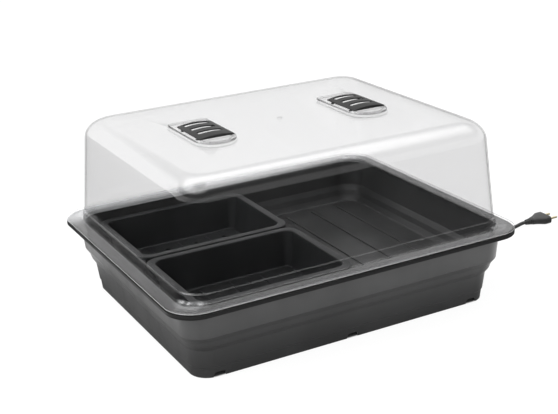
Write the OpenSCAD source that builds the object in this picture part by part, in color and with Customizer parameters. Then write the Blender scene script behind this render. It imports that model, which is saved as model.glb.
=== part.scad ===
// Heated propagator: a moulded tray with a warm false floor, a clear lift-off dome with two sliding vents,
// and two half-size seed trays. Millimetres, +Z up, +X along the length, front at -Y.
// The origin is on the ground, at the centre of the tray's footprint.

/* [Tray] */
// Length over the tray's rim
rim_l = 560; // [552:2:568]
// Width over the tray's rim
rim_w = 464; // [460:2:470]
// Corner radius of the rim in plan
rim_r = 43; // [40:1:46]
// Height of the rim's seat above the ground
seat_z = 116.2; // [115:0.2:118]
// Thickness of the tray's walls and floor
tray_t = 2.4; // [2.2:0.1:2.6]
// Height of the rim's turned-down skirt
skirt_h = 8; // [6:0.5:10]
// Height of the growing floor above the ground
floor_z = 43.7; // [43:0.1:44.2]
// Height of the low ribs on the growing floor
rib_h = 1.6; // [1:0.1:1.7]

/* [Dome] */
// Height of the dome's flat top above the ground
dome_top_z = 278.6; // [270:0.2:290]
// Wall thickness of the clear dome
dome_t = 1.6; // [1.4:0.1:2]
// Radius that blends the dome's walls into its top
dome_fillet = 33; // [28:1:34]
// Inward lean of each dome wall for every millimetre of height
dome_lean = 0.0757; // [0.06:0.0005:0.08]

/* [Vents] */
// Distance of each vent from the dome's centre
vent_x = 126; // [110:1:140]
// Width of the raised vent housing
housing_w = 62; // [60:1:66]
// Height of the vent housing above the dome's top
housing_h = 4.8; // [4:0.2:6]
// Length of a vent slider
slider_l = 78; // [76:1:80]
// Width of a vent slider
slider_w = 54; // [52:1:56]
// Rise of the slider's arched top
slider_crown = 3; // [2.6:0.2:4]
// Spacing of the vent slots
slot_pitch = 22.5; // [22:0.5:23]
// Width of each slot in the dome's housing
slot_w = 5.2; // [4:0.1:5.4]
// Width of each slot in a slider
slider_slot_w = 10; // [8:0.5:10]
// Length of each vent slot
slot_l = 38; // [34:1:39]
// How far a slider travels from open to shut
slider_travel = 10.6; // [10:0.1:11]

/* [Seed trays] */
// Length of a half-size seed tray over its rim
seed_l = 250; // [246:1:252]
// Width of a half-size seed tray over its rim
seed_w = 188; // [184:1:189]
// Height of a seed tray
seed_h = 57; // [50:1:60]
// Where the seed trays' middle stands along the length
seed_x = -107; // [-110:1:-100]

/* [Heater] */
// Radius of the heating cord
cord_r = 1.5; // [1.2:0.1:1.5]
// Number of runs of the heating cord
cord_runs = 10; // [8:2:10]
// Spacing of the runs
cord_pitch = 30; // [26:1:30]

/* [Lead] */
// Radius of the mains lead
lead_r = 3.1; // [2.8:0.1:3.2]
// Place of the lead along the right-hand wall
lead_y = 4.5; // [0:0.5:10]
// Height of the lead where it leaves the wall
lead_exit_z = 24; // [23.5:0.5:24.5]
// Spacing of the plug's pins
pin_pitch = 18.6; // [17.5:0.1:19]
// Radius of a plug pin
pin_r = 2; // [1.9:0.1:2.4]

/* [Hidden] */

$fn = 64;
eps = 0.05;
corner_steps = 8;
over = 1;

// Heights inside the heater space, from the floor's underside downwards
ceiling_z = floor_z - tray_t;
spreader_t = 0.5;
spreader_z = ceiling_z - 0.2 - spreader_t;
wire_z = spreader_z - 0.2 - 2;
pad_top_z = wire_z - 2.1;
pad_t = 7.5;
plate_z = 11;
plate_t = 2;
plate_inset = 41.6;
foot_r = 11;
foot_root_r = 14;

// Heating cord: its rows, and the two tails that run down the terminal side to the ends of the mains lead
run_right = 165;
run_left = -180;
turn_r = cord_pitch / 2;
first_run_y = -(cord_runs - 1) * turn_r;
tail_x = 203;
tail_bend = 6;
tail_front_end_y = -69;
tail_rear_end_y = 46;

// Front tail: splice, cut-out, splice, live core. Rear tail: splice, neutral core
splice_r = 2;
splice_l = 14;
splice_grip = 4;
cutout_y = -50;
cutout_l = 15;
cutout_r = 2.1;
cutout_leg_r = 0.9;
cutout_leg_l = 7;
splice_front_y = tail_front_end_y - splice_grip;
splice_mid_y = cutout_y + cutout_l + cutout_leg_l - splice_grip;
splice_rear_y = tail_rear_end_y + splice_grip;
core_r = 1.1;
core_gap = 2.7;

// Each straight of a cord laps over its bends and stands this much proud of them
cord_lap = 0.3;
cord_skin = 0.02;

// Under-floor screw posts, kept clear of the heater
post_r = 4.5;
post_bore_r = 1.3;
post_places = [
    [-218, -168], [0, -168], [218, -168], [-218, 0],
    [218, 62], [-218, 168], [0, 168], [218, 168]
];
screw_r = 1.25;

// Wall pad, bush and clamp on the lead
wall_pad_r = 10;
wall_pad_x0 = 238.5;
wall_pad_x1 = 246.6;
bush_bore_r = 5;
clamp_x = 226;
clamp_reach = 11;
clamp_bore_r = 1.1;
clamp_screw_r = 1.05;
sheath_end_x = 211;

// Plug at the lead's far end
plug_face_x = 527;
plug_l = 31;
plug_w = 35;
plug_t = 13.7;
plug_z = plug_t / 2;
pin_l = 19;
pin_root_l = 6;
pin_root_r = 1.6;

// Vent housing and slider
housing_z = dome_top_z + housing_h;
housing_front_y = -39;
housing_rear_y = 57;
slider_z = housing_z + 0.2;
slider_edge_h = 1.6;
slider_t = 1.8;
slider_y0 = -48.5;
slot_first_y = -24.5;
slot_places = [for (i = [0 : 2]) slot_first_y + i * slot_pitch];
arch_r = (pow(slider_w / 2, 2) + pow(slider_crown, 2)) / (2 * slider_crown);
arch_top = slider_edge_h + slider_crown;
leg_x = 23;
leg_t = 2;
leg_w = 7.4;
leg_places = [-33, 18];
collar_t = 1.4;
collar_low = 1.7;
recess_rear_y = -50;

// Seed trays
seed_z = floor_z + rib_h + 0.2;
seed_lip = 10;
seed_t = 1.4;
seed_gap = 4;
seed_mid_y = 9;
seed_drain_r = 3.5;

// Height at which the straight dome wall meets its fillet, and its inset from the rim there
wall_foot_z = 131.9;
wall_foot_inset = 24.2;
fillet_z = dome_top_z - dome_fillet;
fillet_inset = wall_foot_inset + dome_lean * (fillet_z - wall_foot_z);

// One horizontal ring of a rounded rectangle, anticlockwise from above
function ring(half_l, half_w, z, r) = [
    for (q = [0 : 3], i = [0 : corner_steps])
    let (
        a = 90 * q + 90 * i / corner_steps,
        side_x = (q == 0 || q == 3) ? 1 : -1,
        side_y = q < 2 ? 1 : -1
    )
    [side_x * (half_l - r) + r * cos(a), side_y * (half_w - r) + r * sin(a), z]
];

// A closed solid set in from an l by w rim, through a list of [inset, height, corner radius], lowest first
module loft(l, w, levels) {
    rings = [for (s = levels) ring(l / 2 - s[0], w / 2 - s[0], s[1], s[2])];
    n = len(rings[0]);
    top = len(rings) - 1;
    sides = [
        for (k = [0 : top - 1], i = [0 : n - 1])
        let (j = (i + 1) % n)
        [k * n + i, (k + 1) * n + i, (k + 1) * n + j, k * n + j]
    ];
    floor_face = [for (i = [0 : n - 1]) i];
    roof_face = [for (i = [0 : n - 1]) top * n + n - 1 - i];
    polyhedron(points = [for (r = rings) each r], faces = concat([floor_face], sides, [roof_face]));
}

module rounded_rectangle(l, w, r) {
    square([l - 2 * r, w], center = true);
    square([l, w - 2 * r], center = true);
    for (x = [-1, 1], y = [-1, 1])
        translate([x * (l / 2 - r), y * (w / 2 - r)])
            circle(r);
}

// A round cord that starts along +X. Each step is [straight length, bend radius, bend angle, roll]
module cord(r, steps, i = 0) {
    if (i < len(steps)) {
        straight = steps[i][0];
        bend = steps[i][1];
        angle = steps[i][2];
        lap_before = i > 0 ? cord_lap : 0;
        lap_after = i < len(steps) - 1 ? cord_lap : 0;
        translate([-lap_before, 0, 0])
            rotate([0, 90, 0])
                cylinder(h = lap_before + straight + lap_after, r = r + cord_skin);
        translate([straight, 0, 0])
            rotate([steps[i][3], 0, 0]) {
                if (angle > 0)
                    translate([0, bend, 0])
                        rotate([0, 0, -90])
                            rotate_extrude(angle = angle)
                                translate([bend, 0])
                                    circle(r);
                translate([bend * sin(angle), bend * (1 - cos(angle)), 0])
                    rotate([0, 0, angle])
                        cord(r, steps, i + 1);
            }
    }
}

// Base tray

// Outer wall: a foot band, the straight lower wall, two small shoulders, then the straight upper wall
tray_outside = [
    [38.6, 0, 28.5],
    [38.1, 1, 29],
    [37, 15.5, 29.6],
    [35.8, 17, 30.2],
    [33, 44, 31.4],
    [28.4, 51.5, 32.6],
    [26, 60, 33],
    [21.2, 68, 34.4],
    [17.5, seat_z - 1, 36]
];

module growing_space() {
    loft(rim_l, rim_w, [
        [40, floor_z, 24],
        [37, floor_z + 1.2, 26.5],
        [35.2, floor_z + 2.8, 28],
        [30.8, 52.9, 30.4],
        [28.4, 61.2, 31.2],
        [23.8, 69.4, 32.4],
        [20.2, seat_z - 4, 33.6],
        [20.2, seat_z + over, 33.6]
    ]);
}

module heater_space() {
    loft(rim_l, rim_w, [
        [41.2, -over, 26.6],
        [39.7, 15.6, 27.2],
        [38.5, 17.1, 27.8],
        [35.8, ceiling_z, 28.8]
    ]);
}

// Flat seat for the dome, a shadow groove round its edge, and the turned-down skirt below
module rim() {
    plate_h = 2.2;
    groove_h = 2.4;
    groove_d = 2.6;
    shoulder_z = seat_z - groove_h;
    translate([0, 0, shoulder_z - eps])
        linear_extrude(groove_h + eps)
            rounded_rectangle(rim_l - 2 * groove_d, rim_w - 2 * groove_d, rim_r - groove_d);
    translate([0, 0, shoulder_z - plate_h])
        linear_extrude(plate_h)
            rounded_rectangle(rim_l, rim_w, rim_r);
    translate([0, 0, seat_z - skirt_h])
        linear_extrude(skirt_h - groove_h)
            difference() {
                rounded_rectangle(rim_l, rim_w, rim_r);
                rounded_rectangle(rim_l - 2 * tray_t, rim_w - 2 * tray_t, rim_r - tray_t);
            }
}

// A drain notch in the wall's bottom edge
module edge_notch() {
    notch_w = 18.5;
    notch_h = 7.5;
    notch_r = 5;
    rotate([90, 0, 0])
        linear_extrude(12, center = true) {
            translate([-notch_w / 2, -over])
                square([notch_w, notch_h - notch_r + over]);
            translate([-notch_w / 2 + notch_r, 0])
                square([notch_w - 2 * notch_r, notch_h]);
            for (x = [-1, 1])
                translate([x * (notch_w / 2 - notch_r), notch_h - notch_r])
                    circle(notch_r);
        }
}

module screw_posts() {
    post_z = plate_z + plate_t;
    for (p = post_places)
        translate([p[0], p[1], post_z])
            cylinder(h = ceiling_z - post_z + eps, r = post_r);
}

module clamp_posts() {
    saddle_w = 9;
    for (s = [-1, 1])
        translate([clamp_x, lead_y + s * clamp_reach, lead_exit_z - 3])
            cylinder(h = ceiling_z - lead_exit_z + 3 + eps, r = 3.5);
    translate([clamp_x - 4, lead_y - saddle_w / 2, lead_exit_z + lead_r + eps])
        cube([8, saddle_w, ceiling_z - lead_exit_z - lead_r]);
}

module along_x(x, y, z, h, r) {
    translate([x, y, z])
        rotate([0, 90, 0])
            cylinder(h = h, r = r);
}

module base_tray() {
    rib_gap = 50;
    rib_w = 3;
    rib_l = 352;
    notch_gap = 209.5;
    color("#3a3a3c") {
        difference() {
            union() {
                loft(rim_l, rim_w, tray_outside);
                rim();
            }
            growing_space();
            heater_space();
            for (x = [-notch_gap, 0, notch_gap], side = [-1, 1])
                translate([x, side * (rim_w / 2 - 40.5), 0])
                    edge_notch();
            along_x(wall_pad_x0 - 1, lead_y, lead_exit_z, 12, wall_pad_r - 1);
        }
        difference() {
            union() {
                screw_posts();
                clamp_posts();
                along_x(wall_pad_x0, lead_y, lead_exit_z, wall_pad_x1 - wall_pad_x0, wall_pad_r);
            }
            for (p = post_places)
                translate([p[0], p[1], plate_z])
                    cylinder(h = 18, r = post_bore_r);
            for (s = [-1, 1])
                translate([clamp_x, lead_y + s * clamp_reach, lead_exit_z - 4])
                    cylinder(h = 14, r = clamp_bore_r);
            along_x(wall_pad_x0 - 1, lead_y, lead_exit_z, 12, bush_bore_r);
        }
        for (x = [-4 : 4])
            translate([x * rib_gap - rib_w / 2, -rib_l / 2, floor_z - eps])
                cube([rib_w, rib_l, rib_h + eps]);
    }
}

// Heater space

module underside_plate() {
    stay_l = 300;
    stay_t = 2;
    stay_pitch = 80;
    stay_z = pad_top_z - pad_t - 0.1;
    hole_r = 2.1;
    head_r = 4;
    color("#2c2c2e")
        difference() {
            union() {
                translate([0, 0, plate_z])
                    linear_extrude(plate_t - 0.1)
                        rounded_rectangle(rim_l - 2 * plate_inset, rim_w - 2 * plate_inset, 25);
                cylinder(h = plate_z + 1, r1 = foot_r, r2 = foot_root_r);
                for (y = [-1.5 : 1.5])
                    translate([-stay_l / 2 - 8, y * stay_pitch - stay_t / 2, plate_z + 1])
                        cube([stay_l, stay_t, stay_z - plate_z - 1]);
            }
            for (p = post_places)
                translate([p[0], p[1], plate_z - over]) {
                    cylinder(h = plate_t + 2 * over, r = hole_r);
                    cylinder(h = over + 0.8, r = head_r);
                }
        }
}

module plate_screws() {
    color("silver")
        for (p = post_places)
            translate([p[0], p[1], plate_z - 0.9]) {
                difference() {
                    cylinder(h = 1.6, r = 3.4);
                    translate([0, 0, -eps])
                        cylinder(h = 1, r = 1.6, $fn = 6);
                }
                cylinder(h = 13, r = screw_r);
            }
}

module heat_spreader() {
    color("gainsboro")
        translate([6, 0, spreader_z])
            linear_extrude(spreader_t)
                rounded_rectangle(412, 316, 8);
}

module heating_wire() {
    tail_run = tail_x - tail_bend - run_right;
    tail_front = tail_front_end_y - first_run_y - tail_bend;
    tail_rear = -first_run_y - tail_rear_end_y - tail_bend;
    color("#c9c4b6") {
        for (i = [0 : cord_runs - 1])
            along_x(run_left, first_run_y + i * cord_pitch, wire_z, run_right - run_left, cord_r);
        for (i = [0 : cord_runs - 2])
            translate([i % 2 == 0 ? run_left : run_right, first_run_y + (i + 0.5) * cord_pitch, wire_z])
                rotate([0, 0, i % 2 == 0 ? 90 : -90])
                    rotate_extrude(angle = 180)
                        translate([turn_r, 0])
                            circle(cord_r);
        translate([run_right, first_run_y, wire_z])
            cord(cord_r, [[tail_run, tail_bend, 90, 0], [tail_front, 1, 0, 0]]);
        translate([run_right, -first_run_y, wire_z])
            cord(cord_r, [[tail_run, tail_bend, 90, 180], [tail_rear, 1, 0, 0]]);
    }
}

module insulation_pad() {
    color("#d8d2c2")
        translate([-7, 0, pad_top_z - pad_t])
            linear_extrude(pad_t)
                rounded_rectangle(386, 316, 8);
}

module along_y(y, h, r) {
    translate([tail_x, y, wire_z])
        rotate([-90, 0, 0])
            cylinder(h = h, r = r);
}

module thermal_cutout() {
    color("ivory") {
        along_y(cutout_y, cutout_l, cutout_r);
        along_y(cutout_y - cutout_leg_l, cutout_l + 2 * cutout_leg_l, cutout_leg_r);
    }
}

// A crimped sleeve from y onwards, with a socket in each end
module splice(y, near_r, far_r) {
    difference() {
        along_y(y, splice_l, splice_r);
        along_y(y - eps, splice_grip + eps, near_r + eps);
        along_y(y + splice_l - splice_grip, splice_grip + eps, far_r + eps);
    }
}

module wire_splices() {
    color("#c8402c") {
        splice(splice_front_y, cord_r, cutout_leg_r);
        splice(splice_mid_y, cutout_leg_r, core_r);
        splice(splice_rear_y - splice_l, core_r, cord_r);
    }
}

// An inner core that rises from the sheath's end and turns towards a tail. side is -1 live, 1 neutral
module inner_core(side, end_y) {
    start_y = lead_y + side * core_gap / 2;
    bend = 6;
    rise = wire_z - lead_exit_z - 2 * bend;
    reach_x = sheath_end_x - tail_x - bend;
    translate([sheath_end_x + 3, start_y, lead_exit_z])
        rotate([0, 0, 180])
            cord(core_r, [
                [reach_x + 3, bend, 90, 90],
                [rise, bend, 90, side * 90],
                [side * (end_y - start_y) - bend, 1, 0, 0]
            ]);
}

module lead_live() {
    color("saddlebrown")
        inner_core(-1, splice_mid_y + splice_l - splice_grip + 0.1);
}

module lead_neutral() {
    color("steelblue")
        inner_core(1, splice_rear_y - splice_l + splice_grip - 0.1);
}

module cable_grommet() {
    bore = lead_r + eps;
    outside_x = wall_pad_x1 + 0.1;
    color("#1f1f21")
        difference() {
            union() {
                along_x(wall_pad_x0 - 1.6, lead_y, lead_exit_z, 1.5, 6.5);
                along_x(wall_pad_x0 - 1.6, lead_y, lead_exit_z, outside_x - wall_pad_x0 + 2, bush_bore_r - eps);
                along_x(outside_x, lead_y, lead_exit_z, 2, 7.5);
                translate([outside_x, lead_y, lead_exit_z])
                    rotate([0, 90, 0])
                        cylinder(h = 15, r1 = 5.4, r2 = 4.2);
            }
            along_x(wall_pad_x0 - 3, lead_y, lead_exit_z, 30, bore);
        }
}

module cable_clamp() {
    bar_t = 2.4;
    bar_z = lead_exit_z - lead_r - eps - bar_t;
    color("#e4e0d4")
        difference() {
            translate([clamp_x, lead_y, bar_z])
                linear_extrude(bar_t)
                    rounded_rectangle(8, 2 * clamp_reach + 9, 3.9);
            for (s = [-1, 1])
                translate([clamp_x, lead_y + s * clamp_reach, bar_z - over])
                    cylinder(h = bar_t + 2 * over, r = 1.4);
        }
}

module clamp_screws() {
    head_z = lead_exit_z - lead_r - eps - 2.4 - 1.8;
    color("silver")
        for (s = [-1, 1])
            translate([clamp_x, lead_y + s * clamp_reach, head_z]) {
                difference() {
                    cylinder(h = 1.75, r = 2.6);
                    translate([0, 0, -eps])
                        cylinder(h = 1, r = 1.2, $fn = 6);
                }
                cylinder(h = 11, r = clamp_screw_r);
            }
}

// Mains lead

// Angle of each half of an S-bend of radius r, joined by a straight link, that moves the lead sideways by step
function s_bend_angle(step, r, link) = acos((2 * r - step) / norm([2 * r, link])) - atan(link / (2 * r));

module power_cable() {
    link = 2;
    drop_r = 30;
    drop_a = s_bend_angle(lead_exit_z - lead_r, drop_r, link);
    lift_r = 40;
    lift_a = s_bend_angle(plug_z - lead_r, lift_r, link);
    sway_r = 150;
    sway_a = 12;
    drop_x = 264;
    straight_in = drop_x - sheath_end_x;
    socket_x = plug_face_x - plug_l - 8;
    bends = 2 * drop_r * sin(drop_a) + 4 * sway_r * sin(sway_a) + 2 * lift_r * sin(lift_a);
    links = link * (cos(drop_a) + 2 * cos(sway_a) + cos(lift_a));
    spare = socket_x - sheath_end_x - straight_in - bends - links;
    color("#1f1f21")
        difference() {
            translate([sheath_end_x, lead_y, lead_exit_z])
                cord(lead_r, [
                    [straight_in, drop_r, drop_a, -90],
                    [link, drop_r, drop_a, 180],
                    [spare / 3, sway_r, sway_a, -90],
                    [link, sway_r, 2 * sway_a, 180],
                    [link, sway_r, sway_a, 180],
                    [spare / 3, lift_r, lift_a, 90],
                    [link, lift_r, lift_a, 180],
                    [spare / 3, 1, 0, 0]
                ]);
            for (s = [-1, 1])
                along_x(sheath_end_x - over, lead_y + s * core_gap / 2, lead_exit_z, over + 4, core_r + eps);
        }
}

module plug_outline() {
    neck_w = 16;
    difference() {
        translate([-plug_l, -plug_w / 2])
            square([plug_l, plug_w]);
        for (s = [-1, 1])
            translate([-plug_l, s * (neck_w / 2 + 14)])
                circle(14);
    }
}

module plug_body() {
    relief_l = 14;
    color("#1f1f21")
        translate([plug_face_x, lead_y, plug_z])
            difference() {
                union() {
                    translate([0, 0, -plug_t / 2])
                        linear_extrude(plug_t)
                            plug_outline();
                    translate([-plug_l - relief_l, 0, 0])
                        rotate([0, 90, 0])
                            cylinder(h = relief_l + 2, r1 = 4.4, r2 = 6.6);
                }
                translate([-plug_l - relief_l - over, 0, 0])
                    rotate([0, 90, 0])
                        cylinder(h = relief_l - 8 + over, r = lead_r + 2 * eps);
                for (s = [-1, 1])
                    translate([-pin_root_l - eps, s * pin_pitch / 2, 0])
                        rotate([0, 90, 0])
                            cylinder(h = pin_root_l + over, r = pin_root_r + eps);
            }
}

module plug_pins() {
    color("#d9c27a")
        for (s = [-1, 1])
            translate([plug_face_x, lead_y + s * pin_pitch / 2, plug_z])
                rotate([0, 90, 0]) {
                    translate([0, 0, -pin_root_l])
                        cylinder(h = pin_root_l + 1, r = pin_root_r);
                    translate([0, 0, eps])
                        cylinder(h = pin_l - pin_r - eps, r = pin_r);
                    translate([0, 0, pin_l - pin_r])
                        sphere(pin_r);
                }
}

// Dome

function wall_levels(t) = [
    for (a = [0 : 15 : 90])
    [
        fillet_inset + t + (dome_fillet - t) * (1 - cos(a)),
        fillet_z + (dome_fillet - t) * sin(a),
        38 - t - (dome_fillet - t) * (1 - cos(a))
    ]
];

function dome_levels(t, foot_z) = concat(
    [
        [21.9 + t, foot_z, 36.6 - t],
        [21.7 + t, seat_z + 1.6, 36.8 - t],
        [22.3 + t, 130.2 - t / 2, 37.2 - t],
        [wall_foot_inset + t, wall_foot_z - t / 2, 36.6 - t]
    ],
    wall_levels(t)
);

// Plan of a vent housing: square at the rear and round at the front
module housing_outline(shrink) {
    half = housing_w / 2 - shrink;
    translate([-half, housing_front_y])
        square([2 * half, housing_rear_y - housing_front_y - shrink]);
    translate([0, housing_front_y])
        circle(half);
}

// The finger recess follows the housing's round front
module recess_outline(shrink) {
    intersection() {
        housing_outline(5 + shrink);
        translate([-housing_w / 2, -80])
            square([housing_w, 80 + recess_rear_y - shrink]);
    }
}

module housing_shell() {
    translate([0, 0, dome_top_z - 1])
        linear_extrude(housing_h + 1)
            housing_outline(0);
}

module housing_hollow() {
    skin_z = housing_z - dome_t;
    recess_z = dome_top_z + 0.2;
    difference() {
        translate([0, 0, dome_top_z - 6])
            linear_extrude(skin_z - dome_top_z + 6)
                housing_outline(dome_t);
        translate([0, 0, recess_z])
            linear_extrude(10)
                recess_outline(-dome_t);
    }
    translate([0, 0, recess_z + dome_t])
        linear_extrude(10)
            recess_outline(0);
    for (y = slot_places)
        translate([-slot_l / 2, y - slot_w / 2, dome_top_z])
            cube([slot_l, slot_w, 10]);
    for (x = [-1, 1], y = leg_places)
        translate([x * leg_x - leg_t / 2 - 0.3, y - leg_w / 2 - slider_travel - 0.3, dome_top_z])
            cube([leg_t + 0.6, leg_w + slider_travel + 0.6, 10]);
}

module dome_lid() {
    color("#e8ecee", 0.35)
        difference() {
            union() {
                loft(rim_l, rim_w, dome_levels(0, seat_z - 3.8));
                translate([0, 0, seat_z + 0.1])
                    linear_extrude(1.5)
                        rounded_rectangle(rim_l, rim_w, rim_r);
                for (s = [-1, 1])
                    translate([s * vent_x, 0, 0])
                        housing_shell();
            }
            loft(rim_l, rim_w, dome_levels(dome_t, seat_z - 3.8 - over));
            for (s = [-1, 1])
                translate([s * vent_x, 0, 0])
                    housing_hollow();
        }
}

// Vent slider, modelled with its bottom edge at height zero and its front edge at y = 0

module arch_outline(shrink, low) {
    intersection() {
        translate([0, arch_top - arch_r])
            circle(arch_r - shrink, $fn = 128);
        translate([-slider_w / 2 + shrink, low])
            square([slider_w - 2 * shrink, arch_top + over - low]);
    }
}

module lengthways(y0, y1) {
    translate([0, y1, 0])
        rotate([90, 0, 0])
            linear_extrude(y1 - y0)
                children();
}

module slider_leg(side) {
    hook = 1.6;
    drop = dome_t + 0.2 + hook + 0.2;
    translate([side * leg_x - leg_t / 2, -leg_w / 2, -drop])
        cube([leg_t, leg_w, drop + 2]);
    translate([side > 0 ? leg_x - leg_t / 2 : -leg_x - leg_t / 2 - hook, -leg_w / 2, -drop])
        cube([leg_t + hook, leg_w, hook]);
}

module vent_slider() {
    slots = [for (y = slot_places) y - slider_y0];
    difference() {
        union() {
            difference() {
                lengthways(0, slider_l)
                    arch_outline(0, 0);
                lengthways(slider_t, slider_l - slider_t)
                    arch_outline(slider_t, -over);
            }
            intersection() {
                lengthways(0, slider_l)
                    arch_outline(0, 0);
                for (y = slots)
                    translate([-slot_l / 2 - collar_t, y - slider_slot_w / 2 - collar_t, collar_low])
                        cube([slot_l + 2 * collar_t, slider_slot_w + 2 * collar_t, 10]);
            }
            for (side = [-1, 1], y = leg_places)
                translate([0, y - slider_y0, 0])
                    slider_leg(side);
        }
        for (y = slots)
            translate([-slot_l / 2, y - slider_slot_w / 2, -2 * over])
                cube([slot_l, slider_slot_w, 12]);
    }
}

module vent_slider_left() {
    color("#4a4a4c")
        translate([-vent_x, slider_y0, slider_z])
            vent_slider();
}

module vent_slider_right() {
    color("#4a4a4c")
        translate([vent_x, slider_y0, slider_z])
            vent_slider();
}

// Half-size seed tray, with its middle on the origin and its bottom at height zero

module seed_body(t, z0, z1) {
    lean = 8;
    loft(seed_l, seed_w, [
        [seed_lip + lean + t + 2, z0, 10 - t],
        [seed_lip + lean + t, z0 + 2, 12 - t],
        [seed_lip + t, z1, 16 - t]
    ]);
}

module seed_rim_outline(shrink) {
    rounded_rectangle(seed_l - 2 * shrink, seed_w - 2 * shrink, 22 - shrink);
}

module seed_tray() {
    skirt = 5;
    drain_x = 50;
    drain_y = 48;
    rib_w = 2;
    rib_l = 132;
    difference() {
        union() {
            seed_body(0, 0, seed_h - 1);
            translate([0, 0, seed_h - seed_t])
                linear_extrude(seed_t)
                    seed_rim_outline(0);
            translate([0, 0, seed_h - skirt])
                linear_extrude(skirt)
                    difference() {
                        seed_rim_outline(0);
                        seed_rim_outline(seed_t);
                    }
        }
        seed_body(seed_t, seed_t, seed_h + over);
        for (x = [-1.5 : 1.5], y = [-1 : 1])
            translate([x * drain_x, y * drain_y, -over])
                cylinder(h = seed_t + 2 * over, r = seed_drain_r);
    }
    for (x = [-1 : 1])
        translate([x * drain_x - rib_w / 2, -rib_l / 2, seed_t - eps])
            cube([rib_w, rib_l, 1.2]);
}

module seed_tray_rear() {
    color("#2a2a2c")
        translate([seed_x, seed_mid_y + (seed_gap + seed_w) / 2, seed_z])
            seed_tray();
}

module seed_tray_front() {
    color("#2a2a2c")
        translate([seed_x, seed_mid_y - (seed_gap + seed_w) / 2, seed_z])
            seed_tray();
}

base_tray();
underside_plate();
plate_screws();
heat_spreader();
heating_wire();
insulation_pad();
thermal_cutout();
wire_splices();
lead_live();
lead_neutral();
cable_grommet();
cable_clamp();
clamp_screws();
power_cable();
plug_body();
plug_pins();
dome_lid();
vent_slider_left();
vent_slider_right();
seed_tray_rear();
seed_tray_front();
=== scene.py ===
import math

import bmesh
import bpy
from mathutils import Matrix, Vector


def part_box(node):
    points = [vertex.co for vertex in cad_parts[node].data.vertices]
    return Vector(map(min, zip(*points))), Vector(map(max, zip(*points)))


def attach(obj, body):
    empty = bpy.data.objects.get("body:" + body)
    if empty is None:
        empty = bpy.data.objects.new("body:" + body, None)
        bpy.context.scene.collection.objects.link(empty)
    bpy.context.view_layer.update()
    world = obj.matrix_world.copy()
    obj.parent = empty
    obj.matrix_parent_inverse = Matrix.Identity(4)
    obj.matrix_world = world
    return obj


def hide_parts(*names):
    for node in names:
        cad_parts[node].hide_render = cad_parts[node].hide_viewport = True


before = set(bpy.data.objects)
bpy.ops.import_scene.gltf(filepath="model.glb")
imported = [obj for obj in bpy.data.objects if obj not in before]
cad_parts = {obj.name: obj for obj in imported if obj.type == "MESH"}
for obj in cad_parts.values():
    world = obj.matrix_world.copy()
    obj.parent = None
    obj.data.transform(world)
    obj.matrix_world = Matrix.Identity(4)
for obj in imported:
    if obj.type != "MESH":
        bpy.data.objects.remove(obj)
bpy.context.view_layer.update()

MM = 0.001

# ---------------------------------------------------------------- design values, in millimetres
RIM_L, RIM_W, RIM_R = 560.0, 464.0, 43.0        # plan of the tray's rim and its corner radius
SEAT_Z = 116.2                                  # top of the tray's rim, where the dome's flange sits
FLOOR_Z, CEILING_Z = 43.7, 41.3                 # upper and lower side of the tray's false floor
TOP_Z = 278.6                                   # top of the dome
HOUSING_Z = 283.4                               # top of the vent housings
DOME_T = 1.6                                    # wall of the dome
FLANGE_T = 2.3                                  # flat flange of the dome, above the rim
FOOT_L, FOOT_W, FOOT_R = 482.8, 386.8, 28.5     # plan of the tray on the ground
VENT_X = 126.0                                  # vents lie this far left and right of the middle
SLOTS_Y, SLOT_X = (-24.5, -2.0, 20.5), 19.0     # vent slots: their middles and half length
LEGS_Y, LEG_X = (-33.0, 18.0), 23.0             # legs that hold a slider in its housing
ARCH_FRONT_Y, ARCH_REAR_Y = -39.0, 57.0         # middle of a housing's round front, and its flat back
RECESS_Y = -50.0                                # finger scoop in front of a slider ends here
NOTCHES_X, NOTCH_W, NOTCH_H = (-209.5, 0, 209.5), 18.5, 7.5
PLATE_POSTS = [(-218, -168), (0, -168), (218, -168), (-218, 0), (218, 62), (-218, 168), (0, 168), (218, 168)]
POST_TOP = CEILING_Z + 0.5                      # posts reach this far into the false floor
LEAD_Y, WALL_HOLE_Z, LEAD_R = 4.5, 24.0, 3.1    # mains lead, where it passes the tray's wall
PIN_Z = 6.85                                    # the plug's axis above the ground
LEAD_SWAY = 1 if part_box("power_cable")[1][1] / MM > LEAD_Y + 5 else -1
CORNER_STEPS = 22
QUADRANTS = ((1, 1), (-1, 1), (-1, -1), (1, -1))


# ---------------------------------------------------------------- geometry helpers
def lerp(a, b, t):
    return a + (b - a) * t


def rounded_path(path, steps=6):
    """Points (inset, z, plan radius, fillet) become (inset, z, plan radius), each fillet as an arc."""
    out = [path[0][:3]]
    for before, here, after in zip(path, path[1:], path[2:]):
        p, a, b = Vector(here[:2]), Vector(before[:2]), Vector(after[:2])
        da, db = a - p, b - p
        turn = math.pi - da.angle(db)
        if here[3] <= 0 or turn < 0.02:
            out.append(here[:3])
            continue
        cut = min(here[3] * math.tan(turn / 2), 0.49 * da.length, 0.49 * db.length)
        radius = cut / math.tan(turn / 2)
        t0, t1 = p + da.normalized() * cut, p + db.normalized() * cut
        middle = p + (da.normalized() + db.normalized()).normalized() * math.hypot(cut, radius)
        r0 = lerp(here[2], before[2], cut / da.length)
        r1 = lerp(here[2], after[2], cut / db.length)
        count = max(2, min(12, round(steps * turn / 0.8)))
        u, v = t0 - middle, t1 - middle
        for i in range(count + 1):
            t = i / count
            w = math.sin(turn)
            q = middle + u * (math.sin((1 - t) * turn) / w) + v * (math.sin(t * turn) / w)
            out.append((q.x, q.y, lerp(r0, r1, t)))
    out.append(path[-1][:3])
    return out


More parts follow.
